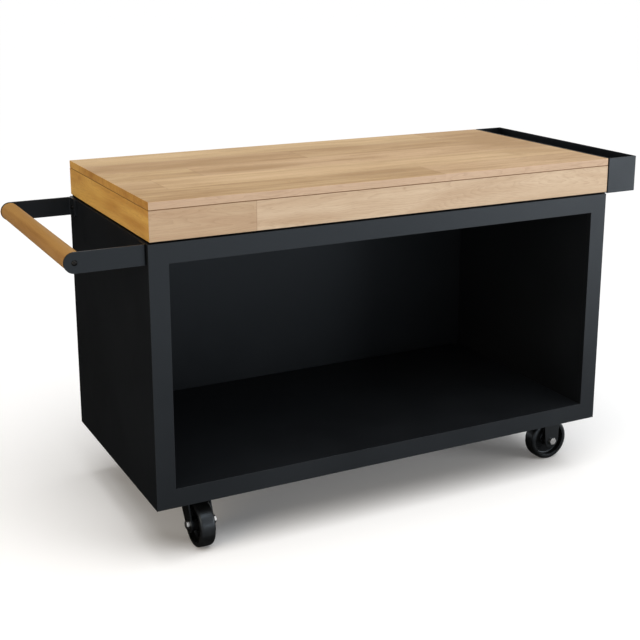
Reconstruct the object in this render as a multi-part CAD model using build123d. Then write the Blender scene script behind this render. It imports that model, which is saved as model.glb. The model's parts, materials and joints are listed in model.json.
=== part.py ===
from build123d import *
import os

os.makedirs("parts", exist_ok=True)

# A prep table on casters: an open sheet-steel cabinet under a wooden worktop, with a push handle at its
# left side and a planter at its right. Millimetres, +Z up, front towards -Y. The origin is on the floor,
# under the middle of the whole table with its handle and planter.

# Cabinet
cabinet_length = 1350.0
cabinet_depth = 655.0
cabinet_height = 670.0
sheet = 2.0
frame_width = 50.0
frame_return = 15.0
frame_edge_radius = 1.0
back_recess = 4.0
post_wall = 3.0
channel_width = 130.0
channel_wall = 3.0
back_screw_count = 5
back_screw_inset = 60.0

# Wooden worktop
shadow_gap = 5.0
apron_height = 75.0
apron_thickness = 40.0
board_thickness = 20.0
board_edge_radius = 1.5
seam_chamfer = 1.2
worktop_left_setback = 4.0
spacer_width = 37.0
spacer_setback = 3.0
spacer_end_gap = 0.5
batten_width = 40.0
batten_count = 3
worktop_screw_count = 4
worktop_screw_inset = 150.0
worktop_screw_bite = 45.0

# Push handle
handle_reach = 170.0
bracket_height = 50.0
bracket_thickness = 5.0
bracket_setback = 10.0
bracket_bend_radius = 1.5
bracket_flange_radius = 6.0
bracket_bolt_setback = 37.0
handle_bar_diameter = 48.0
handle_bar_edge_radius = 1.0
bar_screw_bite = 50.0

# Planter
planter_gap = 4.0
planter_width = 96.0
planter_floor_rise = 1.0
planter_wall = 2.0
planter_edge_radius = 0.8
planter_spacer_radius = 8.0
planter_screw_count = 4
planter_screw_inset = 80.0
planter_screw_bite = 25.0
drain_hole_count = 5
drain_hole_radius = 4.0
drain_hole_inset = 110.0

# Casters
wheel_diameter = 125.0
tyre_width = 42.0
tyre_depth = 10.0
tyre_crown = 1.0
tyre_shoulder_radius = 8.0
rim_width = 40.0
rim_depth = 4.0
rim_lip_radius = 1.0
wheel_web = 8.0
wheel_dish_radius = 4.0
hub_diameter = 38.0
hub_width = 54.0
hub_edge_radius = 1.5
sleeve_wall = 3.5
swivel_trail = 43.0
swivel_side_inset = 139.0
fixed_side_inset = 78.0
caster_end_inset = 119.0
wheel_headroom = 10.0
fork_wall = 4.0
fork_end_radius = 22.0
fork_bend_radius = 6.0
fixed_fork_length = 60.0
crown_length = 66.0
crown_thickness = 5.0
race_gap = 5.0
race_height = 6.0
race_radius = 27.0
race_skirt_radius = 37.0
race_skirt_wall = 3.0
ball_diameter = 7.0
ball_count = 12
plate_length = 110.0
plate_width = 90.0
plate_thickness = 4.0
plate_corner_radius = 8.0
plate_hole_spacing_x = 60.0
plate_hole_spacing_y = 80.0
king_pin_radius = 6.0
king_pin_head_radius = 11.0
king_pin_head_height = 8.0
king_pin_collar_radius = 9.0
king_pin_collar_height = 2.5

# Direction in which each swivelling wheel trails its swivel axis, in degrees from +X
trail_angle = {"front": -90.0, "rear": -75.0}

# Fasteners: radius of the shank, radius or width across flats of the head, heights, and socket
m5_radius = 2.5
m5_head_radius = 4.75
m5_head_height = 2.7
m5_socket = 3.0
m6_radius = 3.0
m6_head_radius = 5.25
m6_head_height = 3.3
m6_socket = 4.0
m8_radius = 4.0
m8_head_radius = 7.0
m8_head_height = 4.4
m8_socket = 5.0
m8_flats = 13.0
m8_hex_height = 5.3
m8_nut_height = 6.5
m12_radius = 6.0
m12_flats = 19.0
m12_hex_height = 7.5
m12_nut_height = 10.0
socket_depth = 1.8
bolt_past_nut = 2.0

# Clearances
seated_clearance = 0.05
hole_clearance = 0.5
running_clearance = 0.05
hub_side_clearance = 0.5
swivel_clearance = 0.3
ball_clearance = 0.15
skirt_clearance = 1.0

# Places worked out from the sizes
wheel_radius = wheel_diameter / 2
crown_z = wheel_diameter + wheel_headroom
crown_top_z = crown_z + crown_thickness
race_z = crown_top_z + race_gap
plate_z = race_z + race_height
base_z = plate_z + plate_thickness
top_z = base_z + cabinet_height
wood_z = top_z + shadow_gap
board_z = wood_z + apron_height
worktop_z = board_z + board_thickness

bracket_end_radius = bracket_height / 2
handle_overhang = handle_reach + bracket_end_radius
overall_length = handle_overhang + cabinet_length + planter_gap + planter_width
left_x = handle_overhang - overall_length / 2
right_x = left_x + cabinet_length
wood_left_x = left_x + worktop_left_setback
planter_x = right_x + planter_gap
planter_outer_x = planter_x + planter_width
planter_floor_z = top_z + planter_floor_rise
handle_x = left_x - handle_reach
handle_z = top_z - bracket_end_radius

front_y = -cabinet_depth / 2
back_y = cabinet_depth / 2
web_back_y = front_y + sheet
return_back_y = front_y + frame_return
back_panel_y = back_y - back_recess - sheet
post_side = frame_width - 3 * sheet
post_y = {"front": return_back_y, "rear": back_panel_y - post_side}
bracket_bolt_y = {"front": front_y + bracket_bolt_setback, "rear": back_y - bracket_bolt_setback}
floor_z = base_z + frame_width - 2 * sheet
floor_top_z = floor_z + sheet

caster_x = {"left": left_x + swivel_side_inset, "right": right_x - fixed_side_inset}
caster_y = {"front": front_y + caster_end_inset, "rear": back_y - caster_end_inset}
trail = {"left": swivel_trail, "right": 0.0}
king_pin_collar_z = base_z - king_pin_collar_height
corners = [(end, side) for end in ("front", "rear") for side in ("left", "right")]
fork_inner = hub_width + 2 * hub_side_clearance
fork_outer = fork_inner + 2 * fork_wall
sleeve_radius = m12_radius + seated_clearance + sleeve_wall
rim_radius = wheel_radius - tyre_depth

# Turns that point a shape's +Z towards a side of the table
to_front = Rot(90, 0, 0)
to_back = Rot(-90, 0, 0)
to_left = Rot(0, -90, 0)
to_right = Rot(0, 90, 0)
to_floor = Rot(180, 0, 0)


# Shapes that repeat
def block(x0, x1, y0, y1, z0, z1):
    """A box between two opposite corners."""
    centre = Pos((x0 + x1) / 2, (y0 + y1) / 2, (z0 + z1) / 2)
    return centre * Box(x1 - x0, y1 - y0, z1 - z0)


def rod(radius, length):
    """A cylinder from the origin along +Z."""
    return Pos(0, 0, length / 2) * Cylinder(radius, length)


def hexagon(flats, height):
    """A hexagonal prism from the origin along +Z."""
    return extrude(RegularPolygon(flats / 2, 6, major_radius=False), amount=height)


def button_screw(radius, head_radius, head_height, socket, length):
    """A domed socket screw: its head stands on the origin along +Z, its shank goes along -Z."""
    dome_radius = (head_radius**2 + head_height**2) / (2 * head_height)
    head = Pos(0, 0, head_height - dome_radius) * Sphere(dome_radius)
    head &= rod(head_radius, head_height)
    head -= Pos(0, 0, head_height - socket_depth) * hexagon(socket, socket_depth)
    return head + Pos(0, 0, -length) * rod(radius, length)


def hex_bolt(radius, flats, head_height, length):
    """A hexagon-head bolt: its head stands on the origin along +Z, its shank goes along -Z."""
    return hexagon(flats, head_height) + Pos(0, 0, -length) * rod(radius, length)


def hex_nut(radius, flats, height):
    """A nut from the origin along +Z."""
    return hexagon(flats, height) - rod(radius + seated_clearance, height)


def spread(first, last, count):
    """Evenly spaced values from first to last."""
    return [first + (last - first) * i / (count - 1) for i in range(count)]


# Cabinet
def front_frame():
    """The face frame: a flat web with a window, and returns folded back along both its edges."""

    def frame_block(inset, y0, y1):
        return block(left_x + inset, right_x - inset, y0, y1, base_z + inset, top_z - inset)

    web = frame_block(0, front_y, web_back_y)
    web = fillet(web.edges().group_by(Axis.Y)[0], frame_edge_radius)
    web -= frame_block(frame_width, front_y, web_back_y)
    inner_return = frame_block(frame_width - sheet, web_back_y, return_back_y)
    inner_return -= frame_block(frame_width, web_back_y, return_back_y)
    outer_return = frame_block(sheet, web_back_y, return_back_y)
    outer_return -= frame_block(2 * sheet, web_back_y, return_back_y)
    return web + inner_return + outer_return


def side_panel(side):
    """An outer side skin, from the back of the face frame's web to the rear edge."""
    x0 = left_x if side == "left" else right_x - sheet
    panel = block(x0, x0 + sheet, web_back_y, back_y, base_z, top_z)
    if side == "left":
        for y in bracket_bolt_y.values():
            panel -= Pos(x0, y, handle_z) * to_right * rod(m8_radius + hole_clearance, sheet)
    return panel


def liner(side):
    """An inner side skin of the bay, on the floor panel and lapped on the face frame's inner return."""
    inset = frame_width - 2 * sheet
    x0 = left_x + inset if side == "left" else right_x - inset - sheet
    return block(x0, x0 + sheet, web_back_y, back_panel_y, floor_top_z, top_z - 2 * sheet)


def corner_post(end, side):
    """A square tube on the floor panel that fills the width of a double-skinned side."""
    x0 = left_x + sheet if side == "left" else right_x - sheet - post_side
    x1 = x0 + post_side
    y0 = post_y[end]
    y1 = y0 + post_side
    z0, z1 = floor_top_z, top_z - sheet
    post = block(x0, x1, y0, y1, z0, z1)
    post -= block(x0 + post_wall, x1 - post_wall, y0 + post_wall, y1 - post_wall, z0, z1)
    if side == "left":
        bolt_hole = rod(m8_radius + hole_clearance, post_wall)
        post -= Pos(x0, bracket_bolt_y[end], handle_z) * to_right * bolt_hole
    if end == "rear":
        screw_hole = to_front * rod(m5_radius + seated_clearance, post_wall)
        post -= [Pos(x, y1, z) * screw_hole for x, z in back_screw_places()]
    return post


def back_screw_places():
    """Where the back panel is screwed: up the middle of both rear posts."""
    inset = sheet + post_side / 2
    heights = spread(floor_top_z + back_screw_inset, top_z - back_screw_inset, back_screw_count)
    return [(x, z) for x in (left_x + inset, right_x - inset) for z in heights]


def back_panel():
    """The back skin, set in from the rear edges of the sides."""
    x0, x1 = left_x + sheet, right_x - sheet
    panel = block(x0, x1, back_panel_y, back_panel_y + sheet, base_z + sheet, top_z - sheet)
    screw_hole = to_back * rod(m5_radius + hole_clearance, sheet)
    return panel - [Pos(x, back_panel_y, z) * screw_hole for x, z in back_screw_places()]


def back_panel_screws():
    length = sheet + post_wall + bolt_past_nut
    screw = to_back * button_screw(m5_radius, m5_head_radius, m5_head_height, m5_socket, length)
    return [Pos(x, back_panel_y + sheet, z) * screw for x, z in back_screw_places()]


def caster_bolt_places():
    """Where the casters are bolted: four places round the middle of each plate."""
    steps_x = (-plate_hole_spacing_x / 2, plate_hole_spacing_x / 2)
    steps_y = (-plate_hole_spacing_y / 2, plate_hole_spacing_y / 2)
    places = []
    for end, side in corners:
        places += [(caster_x[side] + dx, caster_y[end] + dy) for dx in steps_x for dy in steps_y]
    return places


def caster_bolt_holes(z, height):
    hole = rod(m8_radius + hole_clearance, height)
    return [Pos(x, y, z) * hole for x, y in caster_bolt_places()]


def base_pan():
    """The underside skin."""
    pan = block(left_x + sheet, right_x - sheet, web_back_y, back_y, base_z, base_z + sheet)
    return pan - caster_bolt_holes(base_z, sheet)


def floor_panel():
    """The floor of the bay, between the face frame's outer returns and under its inner return."""
    x0, x1 = left_x + 2 * sheet, right_x - 2 * sheet
    return block(x0, x1, web_back_y, back_panel_y, floor_z, floor_top_z)


def chassis_channel(side):
    """A channel from front to back between base pan and floor, over two casters."""
    x0, x1 = caster_x[side] - channel_width / 2, caster_x[side] + channel_width / 2
    z0 = base_z + sheet
    channel = block(x0, x1, return_back_y, back_panel_y, z0, floor_z)
    inside = (x0 + channel_wall, x1 - channel_wall, return_back_y, back_panel_y)
    channel -= block(*inside, z0 + channel_wall, floor_z)
    return channel - caster_bolt_holes(z0, channel_wall)


def top_deck():
    """The cabinet's steel top, under the wood."""
    deck = block(left_x + sheet, right_x - sheet, web_back_y, back_y, top_z - sheet, top_z)
    return deck - worktop_screw_holes(m6_radius + hole_clearance, top_z - sheet, sheet)


# Wooden worktop
def worktop_screw_places():
    """Where the worktop is screwed down: along the middle of the front and rear spacers."""
    inset = spacer_setback + spacer_width / 2
    xs = spread(left_x + worktop_screw_inset, right_x - worktop_screw_inset, worktop_screw_count)
    return [(x, y) for y in (front_y + inset, back_y - inset) for x in xs]


def worktop_screw_holes(radius, z, height):
    return [Pos(x, y, z) * rod(radius, height) for x, y in worktop_screw_places()]


def worktop_screws():
    length = sheet + shadow_gap + worktop_screw_bite
    screw = to_floor * button_screw(m6_radius, m6_head_radius, m6_head_height, m6_socket, length)
    return [Pos(x, y, top_z - sheet) * screw for x, y in worktop_screw_places()]


def worktop_spacers():
    """Four strips under the aprons, set in from their faces, that leave the shadow gap."""
    x0, x1 = wood_left_x + spacer_setback, right_x - spacer_setback
    y0, y1 = front_y + spacer_setback, back_y - spacer_setback
    side_y0 = y0 + spacer_width + spacer_end_gap
    side_y1 = y1 - spacer_width - spacer_end_gap
    holes = worktop_screw_holes(m6_radius + hole_clearance, top_z, shadow_gap)
    return [
        block(x0, x1, y0, y0 + spacer_width, top_z, wood_z) - holes,
        block(x0, x1, y1 - spacer_width, y1, top_z, wood_z) - holes,
        block(x0, x0 + spacer_width, side_y0, side_y1, top_z, wood_z),
        block(x1 - spacer_width, x1, side_y0, side_y1, top_z, wood_z),
    ]


def apron(place):
    """One of the four boards under the worktop's rim, mitred at both ends."""
    x0, x1, y0, y1 = wood_left_x, right_x, front_y, back_y
    in_x0, in_x1 = x0 + apron_thickness, x1 - apron_thickness
    in_y0, in_y1 = y0 + apron_thickness, y1 - apron_thickness
    outline, outward, along = {
        "front": ([(x0, y0), (x1, y0), (in_x1, in_y0), (in_x0, in_y0)], -Axis.Y, Axis.X),
        "rear": ([(x1, y1), (x0, y1), (in_x0, in_y1), (in_x1, in_y1)], Axis.Y, Axis.X),
        "left": ([(x0, y1), (x0, y0), (in_x0, in_y0), (in_x0, in_y1)], -Axis.X, Axis.Y),
        "right": ([(x1, y0), (x1, y1), (in_x1, in_y1), (in_x1, in_y0)], Axis.X, Axis.Y),
    }[place]
    section = make_face(Polyline(*outline, close=True))
    board = extrude(Pos(0, 0, wood_z) * section, amount=apron_height, dir=(0, 0, 1))
    face = board.faces().sort_by(outward)[-1]
    board = chamfer(face.edges().filter_by(along), seam_chamfer)
    if along == Axis.X:
        board -= worktop_screw_holes(m6_radius + seated_clearance, wood_z, worktop_screw_bite)
    if place == "right":
        pilot = to_left * rod(m6_radius + seated_clearance, planter_screw_bite)
        board -= [Pos(right_x, y, z) * pilot for y, z in planter_screw_places()]
    return board


def worktop_board():
    """The edge-glued board on top, with eased edges and a chamfer where it meets the aprons."""
    board = block(wood_left_x, right_x, front_y, back_y, board_z, worktop_z)
    board = fillet(board.edges().filter_by(Axis.Z), board_edge_radius)
    board = fillet(board.edges().group_by(Axis.Z)[-1], board_edge_radius)
    return chamfer(board.edges().group_by(Axis.Z)[0], seam_chamfer)


def worktop_battens():
    """Cross battens between the front and rear aprons, under the board."""
    y0, y1 = front_y + apron_thickness, back_y - apron_thickness
    places = spread(wood_left_x, right_x, batten_count + 2)[1:-1]
    half = batten_width / 2
    return [block(x - half, x + half, y0, y1, wood_z, board_z) for x in places]


# Push handle
def handle_bracket():
    """The front bracket: a round-ended plate with a flange bent back along the cabinet's side."""
    y0 = front_y + bracket_setback
    plate_back_y = y0 + bracket_thickness
    flange_end_y = 2 * bracket_bolt_y["front"] - plate_back_y
    z0 = handle_z - bracket_height / 2
    plate = block(handle_x, left_x, y0, plate_back_y, z0, z0 + bracket_height)
    plate += Pos(handle_x, plate_back_y, handle_z) * to_front * rod(bracket_end_radius, bracket_thickness)
    flange = block(left_x - bracket_thickness, left_x, y0, flange_end_y, z0, z0 + bracket_height)
    flange = fillet(flange.edges().filter_by(Axis.X).group_by(Axis.Y)[-1], bracket_flange_radius)
    bracket = plate + flange
    outer_edge = bracket.edges().filter_by(Axis.Z).sort_by_distance((left_x, y0, handle_z))[0]
    bracket = fillet(outer_edge, bracket_bend_radius + bracket_thickness)
    inner_corner = (left_x - bracket_thickness, plate_back_y, handle_z)
    inner_edge = bracket.edges().filter_by(Axis.Z).sort_by_distance(inner_corner)[0]
    bracket = fillet(inner_edge, bracket_bend_radius)
    hole_radius = m8_radius + hole_clearance
    bracket -= Pos(handle_x, plate_back_y, handle_z) * to_front * rod(hole_radius, bracket_thickness)
    bolt_place = Pos(left_x, bracket_bolt_y["front"], handle_z)
    return bracket - bolt_place * to_left * rod(hole_radius, bracket_thickness)


def handle_bar():
    """The round bar between the brackets, with a pilot hole in each end."""
    y0 = front_y + bracket_setback + bracket_thickness
    length = -2 * y0
    bar = rod(handle_bar_diameter / 2, length)
    bar = fillet(bar.edges(), handle_bar_edge_radius)
    pilot = rod(m8_radius + seated_clearance, bar_screw_bite)
    bar -= [pilot, Pos(0, 0, length - bar_screw_bite) * pilot]
    return Pos(handle_x, y0, handle_z) * to_back * bar


def handle_bar_screws():
    length = bracket_thickness + bar_screw_bite
    screw = button_screw(m8_radius, m8_head_radius, m8_head_height, m8_socket, length)
    y = front_y + bracket_setback
    return [Pos(handle_x, y, handle_z) * to_front * screw, Pos(handle_x, -y, handle_z) * to_back * screw]


def handle_bracket_bolts():
    length = bracket_thickness + sheet + post_wall + m8_nut_height + bolt_past_nut
    bolt = to_left * button_screw(m8_radius, m8_head_radius, m8_head_height, m8_socket, length)
    return [Pos(left_x - bracket_thickness, y, handle_z) * bolt for y in bracket_bolt_y.values()]


def handle_bracket_nuts():
    nut = to_right * hex_nut(m8_radius, m8_flats, m8_nut_height)
    return [Pos(left_x + sheet + post_wall, y, handle_z) * nut for y in bracket_bolt_y.values()]


# Planter
def planter_screw_places():
    """Where the planter is screwed to the right apron: along the apron's middle height."""
    ys = spread(front_y + planter_screw_inset, back_y - planter_screw_inset, planter_screw_count)
    return [(y, wood_z + apron_height / 2) for y in ys]


def planter_trough():
    """A folded trough, open at the top, with drain holes along its floor."""
    y0, y1 = front_y + planter_wall, back_y - planter_wall
    trough = block(planter_x, planter_outer_x, y0, y1, planter_floor_z, worktop_z)
    inner_x0, inner_x1 = planter_x + planter_wall, planter_outer_x - planter_wall
    trough -= block(inner_x0, inner_x1, y0, y1, planter_floor_z + planter_wall, worktop_z)
    screw_hole = to_right * rod(m6_radius + hole_clearance, planter_wall)
    trough -= [Pos(planter_x, y, z) * screw_hole for y, z in planter_screw_places()]
    drain_x = (planter_x + planter_outer_x) / 2
    drain_ys = spread(front_y + drain_hole_inset, back_y - drain_hole_inset, drain_hole_count)
    drain = rod(drain_hole_radius, planter_wall)
    return trough - [Pos(drain_x, y, planter_floor_z) * drain for y in drain_ys]


def planter_end_plates():
    front = block(planter_x, planter_outer_x, front_y, front_y + planter_wall, planter_floor_z, worktop_z)
    front = fillet(front.edges().group_by(Axis.Y)[0], planter_edge_radius)
    return [front, mirror(front, Plane.XZ)]


def planter_spacers():
    spacer = rod(planter_spacer_radius, planter_gap) - rod(m6_radius + hole_clearance, planter_gap)
    return [Pos(right_x, y, z) * to_right * spacer for y, z in planter_screw_places()]


def planter_screws():
    length = planter_wall + planter_gap + planter_screw_bite
    screw = to_right * button_screw(m6_radius, m6_head_radius, m6_head_height, m6_socket, length)
    return [Pos(planter_x + planter_wall, y, z) * screw for y, z in planter_screw_places()]


# Casters: each is made under the middle of its plate, and then placed. The left pair swivels, its wheels
# trailing towards +X as made. The right pair is fixed, its wheels straight under their plates.
def place_caster(shape, end, side):
    return Pos(caster_x[side], caster_y[end], 0) * shape


def place_turning(shape, end, side):
    """Places a piece of a caster that turns with its fork."""
    return place_caster(Rot(0, 0, trail_angle[end] if side == "left" else 0) * shape, end, side)


def wheel_place(side):
    return Pos(trail[side], 0, wheel_radius)


def ball_groove():
    """The two ring-shaped grooves of the swivel's ball race, as one ring round the swivel axis."""
    return Pos(0, 0, crown_top_z + race_gap / 2) * Torus(race_radius, ball_diameter / 2 + ball_clearance)


def caster_plate(side):
    """The bolted plate. On a swivel caster it holds the upper ball race with its dust skirt."""
    outline = RectangleRounded(plate_width, plate_length, plate_corner_radius)
    plate = extrude(Pos(0, 0, plate_z) * outline, amount=plate_thickness)
    hole = Pos(0, 0, plate_z) * rod(m8_radius + hole_clearance, plate_thickness)
    plate -= [place * hole for place in GridLocations(plate_hole_spacing_x, plate_hole_spacing_y, 2, 2)]
    if side == "right":
        return plate
    race = Pos(0, 0, race_z) * rod(race_skirt_radius, race_height)
    skirt_z = crown_top_z + skirt_clearance
    skirt = rod(race_skirt_radius, race_z - skirt_z)
    skirt -= rod(race_skirt_radius - race_skirt_wall, race_z - skirt_z)
    plate += [race, Pos(0, 0, skirt_z) * skirt]
    plate -= ball_groove()
    plate -= Pos(0, 0, race_z) * rod(king_pin_radius + seated_clearance, base_z - race_z)
    collar_hole = rod(king_pin_collar_radius + seated_clearance, king_pin_collar_height)
    return plate - Pos(0, 0, king_pin_collar_z) * collar_hole


def king_pin():
    """The swivel's rivet: a collar sunk in the plate, a shank and a lower head under the fork's crown."""
    head_z = crown_z - swivel_clearance - king_pin_head_height
    head = Pos(0, 0, head_z) * rod(king_pin_head_radius, king_pin_head_height)
    shank = Pos(0, 0, head_z) * rod(king_pin_radius, base_z - head_z)
    collar = Pos(0, 0, king_pin_collar_z) * rod(king_pin_collar_radius, king_pin_collar_height)
    return head + shank + collar


def swivel_balls():
    ball = Pos(race_radius, 0, crown_top_z + race_gap / 2) * Sphere(ball_diameter / 2)
    return [Rot(0, 0, 360 * i / ball_count) * ball for i in range(ball_count)]


def bent_fork(side, bend_z, top_thickness, top_length):
    """A strip bent over the wheel, with two legs that taper to the axle."""
    depth = bend_z - wheel_radius + fork_end_radius
    strip = Rectangle(fork_outer, depth)
    strip = fillet(strip.vertices().group_by(Axis.Y)[-1], fork_bend_radius)
    strip -= Pos(0, -top_thickness) * Rectangle(fork_inner, depth)
    strip = extrude(Plane.YZ * strip, amount=trail[side] + top_length, both=True)
    strip = Pos(0, 0, bend_z - depth / 2) * strip
    top_edge = Pos(0, bend_z - top_thickness / 2) * Rectangle(top_length, top_thickness)
    leg_end = Pos(trail[side], wheel_radius) * Circle(fork_end_radius)
    outline = make_hull(top_edge.edges() + leg_end.edges())
    body = strip & extrude(Plane.XZ * outline, amount=fork_outer, both=True)
    axle_hole = to_back * rod(m12_radius + seated_clearance, fork_outer)
    return body - wheel_place(side) * Pos(0, -fork_outer / 2, 0) * axle_hole


def swivel_fork():
    """The turning fork, with a round crown that holds the lower ball race."""
    body = bent_fork("left", crown_top_z, crown_thickness, crown_length)
    body += Pos(0, 0, crown_z) * rod(race_skirt_radius, crown_thickness)
    body -= ball_groove()
    return body - Pos(0, 0, crown_z) * rod(king_pin_radius + running_clearance, crown_thickness)


def fixed_fork():
    """The fork of a fixed caster, straight under its plate."""
    return bent_fork("right", plate_z, fork_wall, fixed_fork_length)


def axle_bolt(side):
    """The axle's bolt and its nut."""
    length = fork_outer + m12_nut_height + bolt_past_nut
    bolt = Pos(0, -fork_outer / 2, 0) * to_front * hex_bolt(m12_radius, m12_flats, m12_hex_height, length)
    nut = Pos(0, fork_outer / 2, 0) * to_back * hex_nut(m12_radius, m12_flats, m12_nut_height)
    return [wheel_place(side) * bolt, wheel_place(side) * nut]


def axle_sleeve(side):
    """The tube on the axle bolt, clamped between the fork's legs, that the wheel turns on."""
    sleeve = rod(sleeve_radius, fork_inner) - rod(m12_radius + seated_clearance, fork_inner)
    return wheel_place(side) * Pos(0, -fork_inner / 2, 0) * to_back * sleeve


def ring_profile(inner_radius, outer_radius, width):
    """Half the section of a ring round the Y axis."""
    return Pos((inner_radius + outer_radius) / 2, 0) * Rectangle(outer_radius - inner_radius, width)


def wheel_core(side):
    """The moulded wheel: a rim, a thin web dished on both sides, and a hub bored for the sleeve."""
    rim = ring_profile(rim_radius - rim_depth, rim_radius, rim_width)
    rim = fillet(rim.vertices().group_by(Axis.X)[0], rim_lip_radius)
    bore_radius = sleeve_radius + running_clearance
    hub = ring_profile(bore_radius, hub_diameter / 2, hub_width)
    hub = fillet(hub.vertices().group_by(Axis.X)[-1], hub_edge_radius)
    web = ring_profile(bore_radius, rim_radius - rim_depth / 2, wheel_web)
    profile = rim + hub + web
    web_corners = profile.vertices().filter_by(lambda v: abs(abs(v.Y) - wheel_web / 2) < seated_clearance)
    return wheel_place(side) * revolve(fillet(web_corners, wheel_dish_radius), Axis.Y)


def tyre(side):
    """The rubber tyre with a slightly crowned tread and round shoulders."""
    profile = ring_profile(rim_radius, wheel_radius, tyre_width)
    crown_radius = (tyre_width**2 / 4 + tyre_crown**2) / (2 * tyre_crown)
    profile &= Pos(wheel_radius - crown_radius, 0) * Circle(crown_radius)
    profile = fillet(profile.vertices().group_by(Axis.X)[-1], tyre_shoulder_radius)
    return wheel_place(side) * revolve(profile, Axis.Y)


def caster_mount_bolts():
    length = plate_thickness + sheet + channel_wall + m8_nut_height + bolt_past_nut
    bolt = to_floor * hex_bolt(m8_radius, m8_flats, m8_hex_height, length)
    return [Pos(x, y, plate_z) * bolt for x, y in caster_bolt_places()]


def caster_mount_nuts():
    nut = hex_nut(m8_radius, m8_flats, m8_nut_height)
    return [Pos(x, y, base_z + sheet + channel_wall) * nut for x, y in caster_bolt_places()]


# Every node and the solids it holds
nodes = {
    "front_frame": [front_frame()],
    "left_side_panel": [side_panel("left")],
    "right_side_panel": [side_panel("right")],
    "left_liner": [liner("left")],
    "right_liner": [liner("right")],
    "back_panel": [back_panel()],
    "back_panel_screws": back_panel_screws(),
    "base_pan": [base_pan()],
    "floor_panel": [floor_panel()],
    "top_deck": [top_deck()],
    "corner_posts": [corner_post(end, side) for end, side in corners],
    "chassis_channels": [chassis_channel(side) for side in ("left", "right")],
    "worktop_spacers": worktop_spacers(),
    "worktop_board": [worktop_board()],
    "front_apron": [apron("front")],
    "rear_apron": [apron("rear")],
    "left_apron": [apron("left")],
    "right_apron": [apron("right")],
    "worktop_battens": worktop_battens(),
    "worktop_screws": worktop_screws(),
    "handle_bar": [handle_bar()],
    "front_handle_bracket": [handle_bracket()],
    "rear_handle_bracket": [mirror(handle_bracket(), Plane.XZ)],
    "handle_bar_screws": handle_bar_screws(),
    "handle_bracket_bolts": handle_bracket_bolts(),
    "handle_bracket_nuts": handle_bracket_nuts(),
    "planter_trough": [planter_trough()],
    "planter_end_plates": planter_end_plates(),
    "planter_spacers": planter_spacers(),
    "planter_screws": planter_screws(),
    "caster_mount_bolts": caster_mount_bolts(),
    "caster_mount_nuts": caster_mount_nuts(),
    "caster_king_pins": [place_caster(king_pin(), end, "left") for end in ("front", "rear")],
    "caster_swivel_balls": [
        place_caster(ball, end, "left") for end in ("front", "rear") for ball in swivel_balls()
    ],
}
for end, side in corners:
    corner = f"{end}_{side}"
    fork = swivel_fork() if side == "left" else fixed_fork()
    nodes[f"{corner}_caster_plate"] = [place_caster(caster_plate(side), end, side)]
    nodes[f"{corner}_fork"] = [place_turning(fork, end, side)]
    nodes[f"{corner}_axle_bolt"] = [place_turning(piece, end, side) for piece in axle_bolt(side)]
    nodes[f"{corner}_axle_sleeve"] = [place_turning(axle_sleeve(side), end, side)]
    nodes[f"{corner}_wheel_core"] = [place_turning(wheel_core(side), end, side)]
    nodes[f"{corner}_tyre"] = [place_turning(tyre(side), end, side)]

for name, pieces in nodes.items():
    export_step(Compound(children=pieces), f"parts/{name}.step")
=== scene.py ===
import json
import math

import bpy
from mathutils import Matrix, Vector


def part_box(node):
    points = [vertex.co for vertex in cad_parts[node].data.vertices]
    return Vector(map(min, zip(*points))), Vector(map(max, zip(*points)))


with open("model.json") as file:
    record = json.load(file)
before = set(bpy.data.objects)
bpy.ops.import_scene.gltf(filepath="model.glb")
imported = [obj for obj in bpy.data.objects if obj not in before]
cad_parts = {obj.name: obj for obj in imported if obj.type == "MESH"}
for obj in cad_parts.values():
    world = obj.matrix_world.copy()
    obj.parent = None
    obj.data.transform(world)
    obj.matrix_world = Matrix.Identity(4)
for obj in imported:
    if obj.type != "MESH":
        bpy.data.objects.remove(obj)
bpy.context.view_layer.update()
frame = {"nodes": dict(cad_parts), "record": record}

nodes = frame["nodes"]

# Camera, in metres and degrees. The photograph is 640 pixels wide.
camera_place = (-1.4784, -2.8561, 1.4634)
camera_turn = 27.154
camera_dip = 14.126
focal_pixels = 1179.0
photo_width = 640.0
sensor_width = 36.0
camera_shift = -0.1

# Light, in metres, watts and degrees. A matt surface in a level of 1 shows its own colour.
overhead_level = 0.78
overhead_height = 72.0
overhead_turn = 8.0
overhead_softness = 60.0
softbox_place = (3.3, -3.2, 0.8)
softbox_aim = (0.3, -0.33, 0.75)
softbox_size = (2.2, 1.2)
softbox_watts = 76.0
kicker_place = (0.6, -3.7, 0.25)
kicker_aim = (-0.4, -0.33, 0.75)
kicker_size = (1.6, 0.4)
kicker_watts = 9.0
fill_place = (-3.6, -1.6, 1.6)
fill_aim = (-0.63, 0.0, 0.7)
fill_size = (2.0, 2.0)
fill_watts = 40.0
fill_colour = (1.0, 0.82, 0.6)
lamp_white = (1.0, 1.0, 1.0)
sky_level = 0.25
floor_level = 0.95
floor_roughness = 0.9
floor_glow = 0.06
floor_size = 120.0

# Cards that show in reflections alone, in metres: a dark one to the left of the table, which lies
# on the floor and stands up at its back, and others on the floor in front of the table and under it
left_card_x = (-3.0, -0.62)
left_card_y = (-0.5, 0.6)
left_card_height = 2.4
left_card_shade = 0.02
front_card_x = (-0.62, 1.6)
front_card_y = (-1.4, -0.36)
front_card_shade = 0.4
under_card_x = (-0.62, 0.75)
under_card_y = (-0.36, 0.33)
under_card_shade = 0.05
card_lift = 0.001

# For all materials: the span of a noise's values that shows, and how far a rounded edge's normal
# turns from the flat face where the paler edge starts and where it is full, as cosines. The paler
# edge is wear, and on plastic and rubber partly a painted highlight.
noise_span = (0.3, 0.7)
edge_span = (0.98, 0.8)
edge_samples = 4

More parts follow.
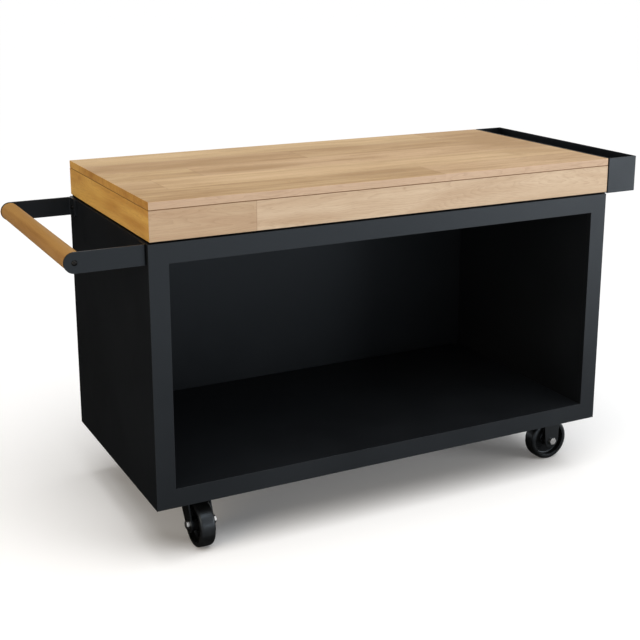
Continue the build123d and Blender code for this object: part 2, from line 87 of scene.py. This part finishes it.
# Paint of the steel: lengths in metres, scales in changes to a metre
coat_tones = [(0.005, 0.0056, 0.0065, 1), (0.0065, 0.0072, 0.0082, 1)]
coat_roughness = 0.42
coat_spread = 0.04
coat_gloss = 0.23
back_gloss = 0.15
# Painted cool light: a blue tint in the reflections of the paint, the plastic and the rubber
cool_light_reflection_tint = (0.74, 0.87, 1.0, 1)
coat_grain = 2400.0
caster_grain = 900.0
coat_edge = 0.0008
coat_wear = 0.35
coat_worn_level = 0.09
coat_polish = 0.12
coat_cloud_scale = 5.0
coat_cloud_detail = 4.0
peel_scale = 160.0
peel_height = 1.5
coat_relief = 0.00012
coat_relief_strength = 0.5

# Plating of the bolts, in the same units
plating_edge = 0.0006
plating_wear = 0.3
plating_cloud_scale = 220.0
plating_cloud_detail = 4.0
scratch_noise = (1800.0, 3.0, 0.6, 1.5)
plating_smoother = 0.07
plating_rougher = 0.1
plating_relief = 0.00005
plating_relief_strength = 0.3

# Plastic and rubber, in the same units
mould_edge = 0.0008
# Paler edges on plastic and rubber: partly wear, partly a painted highlight where the rims catch
# the light
mould_wear_and_highlight = 0.3
mould_worn_and_highlight_level = 0.12
dust_noise = (60.0, 5.0, 0.65)
dust_span = (0.4, 0.75)
mould_smoother = 0.05
mould_rougher = 0.08
mould_relief = 0.0001
mould_relief_strength = 0.4

# Wood, in metres. A noise is its changes in a metre along and across the grain, its detail, its
# roughness and its distortion, and a span is the part of its values that shows.
figure_noise = (2.4, 14.0, 3.0, 0.5, 0.6)
figure_span = (0.42, 0.66)
streak_noise = (3.0, 60.0, 4.0, 0.6, 0.5)
streak_span = (0.42, 0.68)
pore_noise = (45.0, 1300.0, 1.0, 0.5, 0.0)
pore_span = (0.6, 0.72)
tint_span = (0.2, 0.8)
log_distance = 40.0
stave_seed = (3.0, 5.0)
row_margin = 0.001
ring_spacing = 0.0042
ring_waver = 0.07
ring_sharpness = 3.0
pith_below = 0.05
glue_line = 0.0006
seam_half = 0.0014
wood_edge = 0.001
wood_relief = 0.00015
wood_relief_strength = 0.35
streak_height = 0.5
wood_roughness = (0.55, 0.66)
wood_gloss = 0.2

# How much of a surface's normal lies along an axis where the surface starts to count as facing that
# way, and where it counts in full
face_span = (0.6, 0.8)

# How dark each thing makes the wood, and how much of the figure shows on a board's edge
figure_dark = 0.45
streak_dark = 0.3
edge_figure = 0.35
ring_dark = 0.16
pore_dark = 0.22
glue_dark = 0.45
# The seam's darkness is painted shade in the groove between board and apron, less on faces that
# look sideways
seam_dark = 0.75
side_seam_dark = 0.45

# Each wood's palest tone, a warmer one and its darkest, or the palest and the darkest. All are one
# teak: the worktop's tones are its own colour, and the others are copies painted for how light
# falls on them.
worktop_tones = [(0.60, 0.42, 0.227, 1), (0.60, 0.408, 0.238, 1), (0.375, 0.23, 0.105, 1)]
# Painted front light: the teak painted paler and pinker, as strong light from the front makes it
# look; also used on the back apron and the battens
front_lit_apron_tones = [(0.50, 0.393, 0.263, 1), (0.508, 0.393, 0.277, 1), (0.382, 0.266, 0.17, 1)]
# Painted warm light: the end aprons' teak painted ochre, as warm light from the left makes it look
warm_lit_tones = [(0.70, 0.44, 0.115, 1), (0.68, 0.41, 0.095, 1), (0.46, 0.225, 0.04, 1)]
# Painted warm light: the handle's teak painted ochre, as warm light from the left makes it look
warm_lit_handle_tones = [(0.40, 0.22, 0.062, 1), (0.38, 0.205, 0.058, 1), (0.235, 0.106, 0.026, 1)]
# Painted front light: the worktop's front and back edges painted paler, as strong light from the
# front makes them look
front_lit_edge_tones = [(0.482, 0.348, 0.243, 1), (0.31, 0.206, 0.13, 1)]
# The ends of the grain: darker end grain, partly real and partly painted warm light from the left,
# in ochre
end_grain_warm_lit_tones = [(0.555, 0.30, 0.061, 1), (0.354, 0.161, 0.027, 1)]
wood_line = (0.12, 0.05, 0.015, 1)

# Each row of staves from front to back, or from bottom to top: where its two staves meet, as a
# share of their length, and how dark the left and the right one are
worktop_rows = [
    (0.60, 0.46, 0.18),
    (0.072, 0.28, 0.0),
    (0.18, 0.22, 0.18),
    (0.45, 0.46, 0.46),
    (0.825, 0.0, 0.40),
]
long_apron_rows = [(0.202, 0.62, 0.12)]
single_row = [(0.0, 0.25, 0.25)]

# Darker figure and knots: the place along and across as shares, half the length and half the width
# in metres, and how dark. A mark's edge wavers, and it fades out over a span of its half sizes.
worktop_marks = [
    (0.275, 0.48, 0.19, 0.05, 0.55),
    (0.505, 0.489, 0.045, 0.016, 0.42),
    (0.575, 0.478, 0.07, 0.024, 0.36),
    (0.48, 0.16, 0.16, 0.03, 0.4),
    (0.14, 0.66, 0.22, 0.04, 0.25),
    (0.865, 0.29, 0.02, 0.05, 0.25),
    (0.95, 0.6, 0.16, 0.2, 0.6),
]
front_apron_marks = [(0.508, 0.9, 0.006, 0.004, 0.5), (0.30, 0.2, 0.2, 0.012, 0.3)]
left_apron_marks = [
    (0.32, 0.9, 0.3, 0.014, 0.6),
    (0.42, 0.55, 0.1, 0.02, 0.5),
    (0.12, 0.35, 0.14, 0.014, 0.4),
    (0.86, 0.8, 0.02, 0.008, 0.5),
]
mark_waver = 0.5
mark_span = (0.3, 1.1)


class Shader:
    """A material's nodes, with short calls for the kinds that repeat."""

    def __init__(self, name):
        self.material = bpy.data.materials.new(name)
        self.material.use_nodes = True
        self.tree = self.material.node_tree
        self.surface = self.tree.nodes["Principled BSDF"]
        self.place = self.node("ShaderNodeTexCoord")

    def feed(self, socket, value):
        if isinstance(value, bpy.types.NodeSocket):
            self.tree.links.new(value, socket)
        else:
            socket.default_value = value

    def node(self, kind, inputs=(), **settings):
        """Adds a node. Settings are its properties, and inputs are sockets with a link or value."""
        made = self.tree.nodes.new(kind)
        for name, value in settings.items():
            setattr(made, name, value)
        for name, value in dict(inputs).items():
            self.feed(made.inputs[name], value)
        return made

    def math(self, operation, *values):
        return self.node("ShaderNodeMath", enumerate(values), operation=operation).outputs[0]

    def blend(self, factor, first, second):
        inputs = {0: factor, 2: first, 3: second}
        return self.node("ShaderNodeMix", inputs, data_type="FLOAT").outputs[0]

    def mix(self, factor, first, second):
        inputs = {0: factor, 6: first, 7: second}
        return self.node("ShaderNodeMix", inputs, data_type="RGBA").outputs[2]

    def hypotenuse(self, a, b):
        square = self.math("ADD", self.math("MULTIPLY", a, a), self.math("MULTIPLY", b, b))
        return self.math("SQRT", square)

    def combine(self, x, y, z):
        return self.node("ShaderNodeCombineXYZ", {"X": x, "Y": y, "Z": z}).outputs[0]

    def separate(self, vector):
        made = self.node("ShaderNodeSeparateXYZ", {"Vector": vector})
        return [made.outputs[i] for i in range(3)]

    def noise(self, vector, scale, detail=2.0, roughness=0.5, distortion=0.0):
        inputs = {
            "Vector": vector,
            "Scale": scale,
            "Detail": detail,
            "Roughness": roughness,
            "Distortion": distortion,
        }
        return self.node("ShaderNodeTexNoise", inputs).outputs["Fac"]

    def random(self, x, y):
        """Three random numbers for each pair of whole numbers."""
        vector = self.combine(x, y, 0)
        made = self.node("ShaderNodeTexWhiteNoise", {"Vector": vector}, noise_dimensions="2D")
        return self.separate(made.outputs["Color"])

    def steps(self, place, rows):
        """Three numbers for each of some equal steps from 0 to 1."""
        made = self.node("ShaderNodeValToRGB", {"Fac": place})
        ramp = made.color_ramp
        ramp.interpolation = "CONSTANT"
        while len(ramp.elements) < len(rows):
            ramp.elements.new(1.0)
        for i, row in enumerate(rows):
            ramp.elements[i].position = i / len(rows)
            ramp.elements[i].color = (*row, 1)
        return self.separate(made.outputs["Color"])

    def fit(self, value, low, high, new_low=0.0, new_high=1.0):
        """Takes low to high onto new_low to new_high, and stays between those."""
        inputs = {1: low, 2: high, 3: new_low, 4: new_high, 0: value}
        return self.node("ShaderNodeMapRange", inputs, clamp=True).outputs[0]

    def soft_edges(self, radius):
        """A normal that rounds the edges, and a mask that is 1 on them."""
        rounded = self.node("ShaderNodeBevel", {"Radius": radius}, samples=edge_samples).outputs[0]
        flat = self.node("ShaderNodeNewGeometry").outputs["Normal"]
        inputs = {0: rounded, 1: flat}
        dot = self.node("ShaderNodeVectorMath", inputs, operation="DOT_PRODUCT")
        return rounded, self.fit(dot.outputs["Value"], *edge_span)

    def bump(self, height, depth, strength, normal):
        inputs = {"Height": height, "Distance": depth, "Strength": strength, "Normal": normal}
        return self.node("ShaderNodeBump", inputs).outputs[0]

    def finish(self, **inputs):
        """Sets the surface's sockets, whose names are given with _ for a space."""
        for name, value in inputs.items():
            self.feed(self.surface.inputs[name.replace("_", " ")], value)
        return self.material


def grey(level):
    return (level, level, level, 1)


# Materials
def powder_coat(name, dark, light, grain=coat_grain, shine=coat_gloss):
    """Paint baked on sheet steel: a fine texture over a slight orange peel, polished and paler at
    the edges."""
    shader = Shader(name)
    place = shader.place.outputs["Object"]
    normal, edge = shader.soft_edges(coat_edge)
    cloud = shader.fit(shader.noise(place, coat_cloud_scale, coat_cloud_detail), *noise_span)
    speck = shader.noise(place, grain)
    colour = shader.mix(cloud, dark, light)
    worn = shader.math("MULTIPLY", edge, coat_wear)
    colour = shader.mix(worn, colour, grey(coat_worn_level))
    smooth, rough = coat_roughness - coat_spread, coat_roughness + coat_spread
    roughness = shader.fit(cloud, 0, 1, smooth, rough)
    roughness = shader.math("SUBTRACT", roughness, shader.math("MULTIPLY", edge, coat_polish))
    peel = shader.noise(place, peel_scale)
    height = shader.math("ADD", speck, shader.math("MULTIPLY", peel, peel_height))
    bump = shader.bump(height, coat_relief, coat_relief_strength, normal)
    return shader.finish(
        Base_Color=colour,
        Roughness=roughness,
        Normal=bump,
        Specular_IOR_Level=shine,
        Specular_Tint=cool_light_reflection_tint,
    )


def wood(name, along, across, box, rows, tones, edge_tones=None, marks=(), seam_z=None):
    """Solid wood with its grain along one axis, in rows of two staves, each cut from a log of its
    own, with growth rings, streaks, pores and marks. The ends of the grain have a tone of their
    own, partly real end grain and partly painted warm light, and the seam is painted darker as
    the shade in its groove."""
    shader = Shader(name)
    axes = dict(zip("xyz", shader.separate(shader.place.outputs["Object"])))
    facing = dict(zip("xyz", shader.separate(shader.place.outputs["Normal"])))
    low, high = ({axis: corner[i] for i, axis in enumerate("xyz")} for corner in box)
    deep = next(axis for axis in "xyz" if axis not in (along, across))
    run, side, depth = axes[along], axes[across], axes[deep]
    length = high[along] - low[along]
    breadth = high[across] - low[across]
    width = breadth / len(rows)

    # The stave that a point is in
    run_share = shader.fit(run, low[along], high[along])
    side_share = shader.fit(side, low[across], high[across])
    joint, left_dark, right_dark = shader.steps(side_share, rows)
    row = shader.math("FLOOR", shader.math("MULTIPLY", side_share, len(rows) - row_margin))
    row_place = shader.math("SUBTRACT", shader.math("MULTIPLY", side_share, len(rows)), row)
    past_joint = shader.math("GREATER_THAN", run_share, joint)
    dark = shader.blend(past_joint, left_dark, right_dark)
    row_seed, joint_seed = stave_seed
    tint, shift, pith = shader.random(
        shader.math("ADD", row, row_seed), shader.math("ADD", past_joint, joint_seed)
    )

    # The log that the stave was cut from
    offset = shader.math("MULTIPLY", shift, log_distance)
    run_in_log = shader.math("ADD", run, offset)
    side_in_log = shader.math("ADD", side, offset)

    def stretched(lengthwise, crosswise, detail, roughness, distortion):
        """Noise drawn out along the grain."""
        place = shader.combine(
            shader.math("MULTIPLY", run_in_log, lengthwise),
            shader.math("MULTIPLY", side_in_log, crosswise),
            shader.math("MULTIPLY", depth, crosswise),
        )
        return shader.noise(place, 1.0, detail, roughness, distortion)

    figure = stretched(*figure_noise)
    streak = stretched(*streak_noise)
    pore = shader.fit(stretched(*pore_noise), *pore_span)

    pith_side = shader.math("MULTIPLY", shader.math("SUBTRACT", row_place, pith), width)
    pith_depth = shader.math("SUBTRACT", depth, low[deep] - pith_below)
    radius = shader.hypotenuse(pith_side, pith_depth)
    radius = shader.math("ADD", radius, shader.math("MULTIPLY", figure, ring_waver))
    in_ring = shader.math("FRACT", shader.math("DIVIDE", radius, ring_spacing))
    ring = shader.math("POWER", in_ring, ring_sharpness)

    side_face = shader.fit(shader.math("ABSOLUTE", facing[across]), *face_span)
    end_face = shader.fit(shader.math("ABSOLUTE", facing[along]), *face_span)

    # How dark a point is
    shade = shader.math("MULTIPLY", shader.fit(figure, *figure_span), figure_dark)
    streaks = shader.math("MULTIPLY", shader.fit(streak, *streak_span), streak_dark)
    shade = shader.math("ADD", shade, streaks)
    shade = shader.math("ADD", shade, dark)
    for run_middle, side_middle, half_length, half_width, darkness in marks:
        before, past = -run_middle * length, (1 - run_middle) * length
        below, above = -side_middle * breadth, (1 - side_middle) * breadth
        from_mark = shader.hypotenuse(
            shader.math("DIVIDE", shader.fit(run_share, 0, 1, before, past), half_length),
            shader.math("DIVIDE", shader.fit(side_share, 0, 1, below, above), half_width),
        )
        waver = shader.fit(streak, *noise_span, -mark_waver, mark_waver)
        from_mark = shader.math("ADD", from_mark, waver)
        shade = shader.math("ADD", shade, shader.fit(from_mark, *mark_span, darkness, 0.0))
    shade = shader.math("MULTIPLY", shade, shader.fit(side_face, 0, 1, 1.0, edge_figure))
    shade = shader.math("MINIMUM", shade, 1.0)

    pale, warm, dark_tone = tones
    colour = shader.mix(shader.fit(tint, *tint_span), pale, warm)
    colour = shader.mix(shade, colour, dark_tone)
    if edge_tones:
        colour = shader.mix(side_face, colour, shader.mix(shade, *edge_tones))
    # End faces: end grain, painted warmer as warm light from the left makes it look
    colour = shader.mix(end_face, colour, shader.mix(shade, *end_grain_warm_lit_tones))

    # Glue lines, which a board's edge doesn't show, pores and painted shade at the seam
    joint_gap = shader.math("ABSOLUTE", shader.math("SUBTRACT", run_share, joint))
    row_gap = shader.math("ABSOLUTE", shader.math("SUBTRACT", row_place, 0.5))
    joint_line = shader.math("LESS_THAN", joint_gap, glue_line / length)
    joint_line = shader.math("MULTIPLY", joint_line, shader.math("SUBTRACT", 1.0, end_face))
    row_line = shader.math("GREATER_THAN", row_gap, 0.5 - glue_line / 2 / width)
    line = shader.math("MAXIMUM", joint_line, row_line)
    line = shader.math("MULTIPLY", line, shader.math("SUBTRACT", 1.0, side_face))
    grain = shader.math("MULTIPLY", ring, ring_dark)
    grain = shader.math("ADD", grain, shader.math("MULTIPLY", pore, pore_dark))
    grain = shader.math("ADD", grain, shader.math("MULTIPLY", line, glue_dark))
    # Painted shade: the seam between board and apron is darkened as the shade in its groove
    if seam_z is not None:
        from_seam = shader.math("ABSOLUTE", shader.math("SUBTRACT", axes["z"], seam_z))
        near_seam = shader.fit(from_seam, seam_half / 2, seam_half, 1.0, 0.0)
        sideways = shader.math("ABSOLUTE", facing["x"])
        dust_and_seam_shade = shader.fit(sideways, *face_span, seam_dark, side_seam_dark)
        grain = shader.math("ADD", grain, shader.math("MULTIPLY", near_seam, dust_and_seam_shade))
    colour = shader.mix(shader.math("MINIMUM", grain, 1.0), colour, wood_line)

    normal, _ = shader.soft_edges(wood_edge)
    raised = shader.math("MULTIPLY", streak, streak_height)
    height = shader.math("SUBTRACT", raised, shader.math("ADD", pore, line))
    bump = shader.bump(height, wood_relief, wood_relief_strength, normal)
    roughness = shader.fit(streak, *noise_span, *wood_roughness)
    return shader.finish(
        Base_Color=colour, Roughness=roughness, Normal=bump, Specular_IOR_Level=wood_gloss
    )


def plated(name, dark, light, roughness):
    """Plated or blackened steel of a bolt, cloudy and lightly scratched, from two grey levels."""
    shader = Shader(name)
    place = shader.place.outputs["Object"]
    normal, edge = shader.soft_edges(plating_edge)
    cloud = shader.noise(place, plating_cloud_scale, plating_cloud_detail)
    scratch = shader.noise(place, *scratch_noise)
    colour = shader.mix(shader.fit(cloud, *noise_span), grey(dark), grey(light))
    colour = shader.mix(shader.math("MULTIPLY", edge, plating_wear), colour, grey(light))
    smooth, rough = roughness - plating_smoother, roughness + plating_rougher
    return shader.finish(
        Base_Color=colour,
        Metallic=1.0,
        Roughness=shader.fit(scratch, *noise_span, smooth, rough),
        Normal=shader.bump(scratch, plating_relief, plating_relief_strength, normal),
    )


def moulded(name, dark, light, roughness, grain, shine, edge_wear_and_highlight=mould_wear_and_highlight):
    """Moulded plastic or rubber, finely textured and a little dusty, from two grey levels, with
    edges painted paler, partly as wear and partly as a painted highlight.
    """
    shader = Shader(name)
    place = shader.place.outputs["Object"]
    normal, edge = shader.soft_edges(mould_edge)
    dust_and_seam_shade = shader.noise(place, *dust_noise)
    texture = shader.noise(place, grain)
    colour = shader.mix(shader.fit(dust_and_seam_shade, *dust_span), grey(dark), grey(light))
    colour = shader.mix(shader.math("MULTIPLY", edge, edge_wear_and_highlight), colour, grey(mould_worn_and_highlight_level))
    smooth, rough = roughness - mould_smoother, roughness + mould_rougher
    return shader.finish(
        Base_Color=colour,
        Roughness=shader.fit(dust_and_seam_shade, *noise_span, smooth, rough),
        Normal=shader.bump(texture, mould_relief, mould_relief_strength, normal),
        Specular_IOR_Level=shine,
        Specular_Tint=cool_light_reflection_tint,
    )


finishes = {
    "powder_coated_steel": powder_coat("powder_coated_steel", *coat_tones),
    "zinc_plated_steel": plated("zinc_plated_steel", dark=0.40, light=0.60, roughness=0.34),
    "black_fastener": plated("black_fastener", dark=0.007, light=0.018, roughness=0.32),
    # Black rubber strips in the gap under the worktop, made near black: partly their own colour,
    # partly painted shade that keeps the gap dark
    "black_rubber_strip": moulded(
        "black_rubber_strip",
        dark=0.0015,
        light=0.0025,
        roughness=0.75,
        grain=1500.0,
        shine=0.02,
        edge_wear_and_highlight=0.0,
    ),
    "caster_steel": powder_coat("caster_steel", grey(0.004), grey(0.006), grain=caster_grain),
    "wheel_plastic": moulded(
        "wheel_plastic", dark=0.004, light=0.007, roughness=0.28, grain=1600.0, shine=0.3
    ),
    "tyre_rubber": moulded(
        "tyre_rubber", dark=0.004, light=0.008, roughness=0.32, grain=1100.0, shine=0.36
    ),
}


def board(node, along, across, rows, tones, **extras):
    return wood(f"teak_{node}", along, across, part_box(node), rows, tones, **extras)


# Nodes with a look of their own: wood that runs along each board, with the aprons, the worktop's
# edges and the handle in copies of the teak painted for how light falls on them, and the back's
# duller paint
seam_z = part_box("worktop_board")[0][2]
looks = {
    "back_panel": powder_coat("powder_coated_back", *coat_tones, shine=back_gloss),
    "worktop_board": board(
        "worktop_board",
        "x",
        "y",
        worktop_rows,
        worktop_tones,
        edge_tones=front_lit_edge_tones,
        marks=worktop_marks,
        seam_z=seam_z,
    ),
    "front_apron": board(
        "front_apron",
        "x",
        "z",
        long_apron_rows,
        front_lit_apron_tones,
        marks=front_apron_marks,
        seam_z=seam_z,
    ),
    "rear_apron": board("rear_apron", "x", "z", long_apron_rows, front_lit_apron_tones, seam_z=seam_z),
    "left_apron": board(
        "left_apron",
        "y",
        "z",
        single_row,
        warm_lit_tones,
        marks=left_apron_marks,
        seam_z=seam_z,
    ),
    "right_apron": board("right_apron", "y", "z", single_row, warm_lit_tones, seam_z=seam_z),
    "worktop_battens": board("worktop_battens", "y", "z", single_row, front_lit_apron_tones),
    "handle_bar": board("handle_bar", "y", "z", single_row, warm_lit_handle_tones),
}

slot_of = {part["node"]: part["material_slot"] for part in frame["record"]["subparts"]}
for name, node in nodes.items():
    node.data.materials.clear()
    node.data.materials.append(looks.get(name) or finishes[slot_of[name]])


# Studio
def add(name, data):
    made = bpy.data.objects.new(name, data)
    bpy.context.scene.collection.objects.link(made)
    return made


def floor():
    bpy.ops.mesh.primitive_plane_add(size=floor_size)
    plane = bpy.context.object
    plane.name = "studio_floor"
    white = Shader("studio_floor").finish(
        Base_Color=grey(floor_level),
        Roughness=floor_roughness,
        Specular_IOR_Level=0.0,
        Emission_Color=grey(1.0),
        Emission_Strength=floor_glow,
    )
    plane.data.materials.append(white)


def card(name, x_ends, line, shade):
    """A card along a line of points (y, z), seen in reflections alone."""
    points = [(x, y, z) for y, z in line for x in x_ends]
    faces = [(i, i + 1, i + 3, i + 2) for i in range(0, len(points) - 2, 2)]
    mesh = bpy.data.meshes.new(name)
    mesh.from_pydata(points, [], faces)
    matt = Shader(name).finish(Base_Color=grey(shade), Specular_IOR_Level=0.0)
    mesh.materials.append(matt)
    made = add(name, mesh)
    for kind in ("camera", "diffuse", "shadow", "transmission"):
        setattr(made, f"visible_{kind}", False)


def cards():
    left_line = [(y, card_lift) for y in left_card_y] + [(left_card_y[1], left_card_height)]
    front_line = [(y, card_lift) for y in front_card_y]
    under_line = [(y, card_lift) for y in under_card_y]
    card("studio_left_card", left_card_x, left_line, left_card_shade)
    card("studio_front_card", front_card_x, front_line, front_card_shade)
    card("studio_under_card", under_card_x, under_line, under_card_shade)


def overhead():
    """A wide soft light from above, a little from the front and the right."""
    lamp = bpy.data.lights.new("overhead", "SUN")
    lamp.energy = overhead_level * math.pi
    lamp.angle = math.radians(overhead_softness)
    holder = add("overhead", lamp)
    tilt, turn = math.radians(90 - overhead_height), math.radians(overhead_turn)
    holder.rotation_euler = (tilt, 0, turn)


def softbox(name, place, aim, size, watts, colour=lamp_white):
    lamp = bpy.data.lights.new(name, "AREA")
    lamp.shape = "RECTANGLE"
    lamp.size, lamp.size_y = size
    lamp.energy = watts
    lamp.color = colour
    holder = add(name, lamp)
    holder.location = place
    direction = Vector(aim) - Vector(place)
    holder.rotation_euler = direction.to_track_quat("-Z", "Y").to_euler()


def sky():
    """White where it is seen or mirrored, and a dim grey light everywhere else."""
    world = bpy.data.worlds.new("studio")
    world.use_nodes = True
    tree = world.node_tree
    background = tree.nodes["Background"]
    path = tree.nodes.new("ShaderNodeLightPath")
    seen = path.outputs["Is Camera Ray"]
    for kind in ("Is Glossy Ray", "Is Transmission Ray"):
        either = tree.nodes.new("ShaderNodeMath")
        either.operation = "MAXIMUM"
        tree.links.new(seen, either.inputs[0])
        tree.links.new(path.outputs[kind], either.inputs[1])
        seen = either.outputs[0]
    level = tree.nodes.new("ShaderNodeMapRange")
    level.inputs["To Min"].default_value = sky_level
    level.inputs["To Max"].default_value = 1.0
    tree.links.new(seen, level.inputs["Value"])
    tree.links.new(level.outputs[0], background.inputs["Strength"])
    background.inputs["Color"].default_value = grey(1.0)
    bpy.context.scene.world = world


def camera():
    lens = bpy.data.cameras.new("camera")
    lens.sensor_width = sensor_width
    lens.lens = focal_pixels * sensor_width / photo_width
    lens.shift_y = camera_shift
    holder = add("camera", lens)
    holder.location = camera_place
    tilt, turn = math.radians(90 - camera_dip), math.radians(-camera_turn)
    holder.rotation_euler = (tilt, 0, turn)
    bpy.context.scene.camera = holder


floor()
cards()
overhead()
softbox("softbox", softbox_place, softbox_aim, softbox_size, softbox_watts)
softbox("kicker", kicker_place, kicker_aim, kicker_size, kicker_watts)
softbox("fill", fill_place, fill_aim, fill_size, fill_watts, fill_colour)
sky()
camera()
bpy.context.scene.view_settings.view_transform = "Standard"
